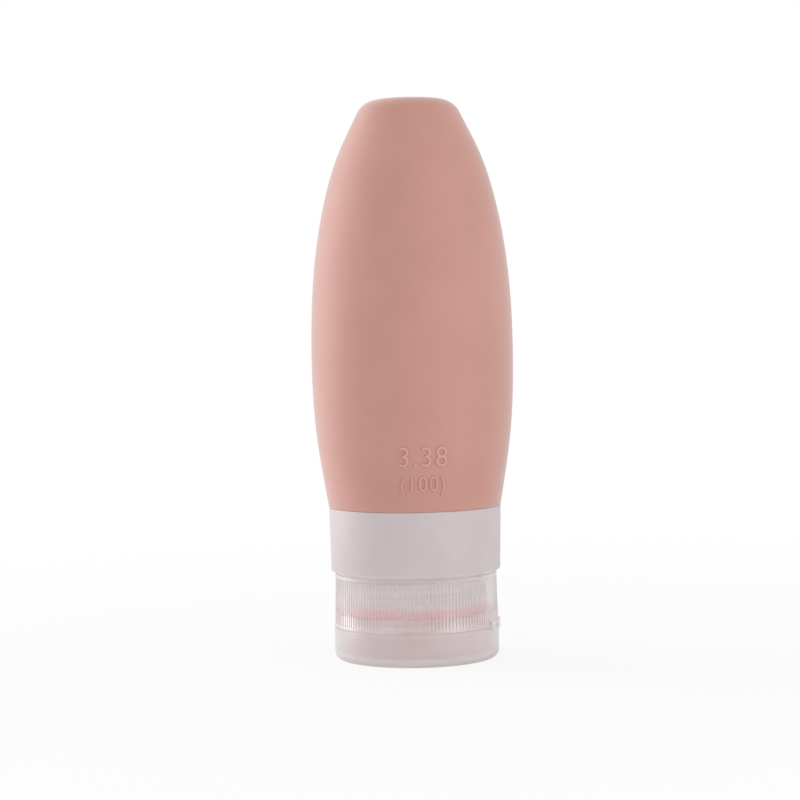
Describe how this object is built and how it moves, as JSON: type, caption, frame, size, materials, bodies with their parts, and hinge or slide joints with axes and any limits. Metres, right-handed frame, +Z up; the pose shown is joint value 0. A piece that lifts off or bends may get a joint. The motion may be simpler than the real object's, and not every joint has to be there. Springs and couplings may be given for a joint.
{
  "type": "travel silicone bottle",
  "caption": "Squeezable silicone travel bottle that stands on its flip cap, with a tapered body, a frosted clamping collar, a ribbed screw cap, a hinged lid and a slit valve.",
  "frame": {"origin": "on the bottle's axis, in the flat face of the lid that it stands on", "axes": "+Z up along the bottle's axis from the lid to the tail; the lid's hinge is on the +X side, the thumb notch on the -X side"},
  "size_m": [0.0434, 0.0434, 0.12],
  "materials": {
    "silicone": "matte soft-touch silicone",
    "frosted_collar": "frosted polypropylene",
    "clear_cap": "translucent polypropylene, satin",
    "valve_silicone": "clear soft silicone",
    "valve_ring": "natural polypropylene"
  },
  "bodies": {
    "bottle": {"silicone_body": "silicone", "neck_collar": "frosted_collar"},
    "valve": {"slit_valve": "valve_silicone"},
    "cap": {"cap_base": "clear_cap", "valve_ring": "valve_ring", "hinge_films": "clear_cap", "snap_strap": "clear_cap"},
    "lid": {"flip_lid": "clear_cap"}
  },
  "joints": [
    {"name": "cap_travel", "type": "slide", "parent": "bottle", "child": "valve", "axis": [0, 0, -1], "range_m": [0, 0.0045]},
    {"name": "cap_turn", "type": "hinge", "parent": "valve", "child": "cap", "pos_m": [0, 0, 0.0149], "axis": [0, 0, -1], "range_deg": [0, 540]},
    {"name": "lid_flip", "type": "hinge", "parent": "cap", "child": "lid", "pos_m": [0.01793, 0, 0.0074], "axis": [0, -1, 0], "range_deg": [0, 140], "deforming": ["hinge_films", "snap_strap"]}
  ],
  "couplings": [
    {"joint": "cap_travel", "follows": "cap_turn", "m_per_rad": 0.00047746}
  ]
}
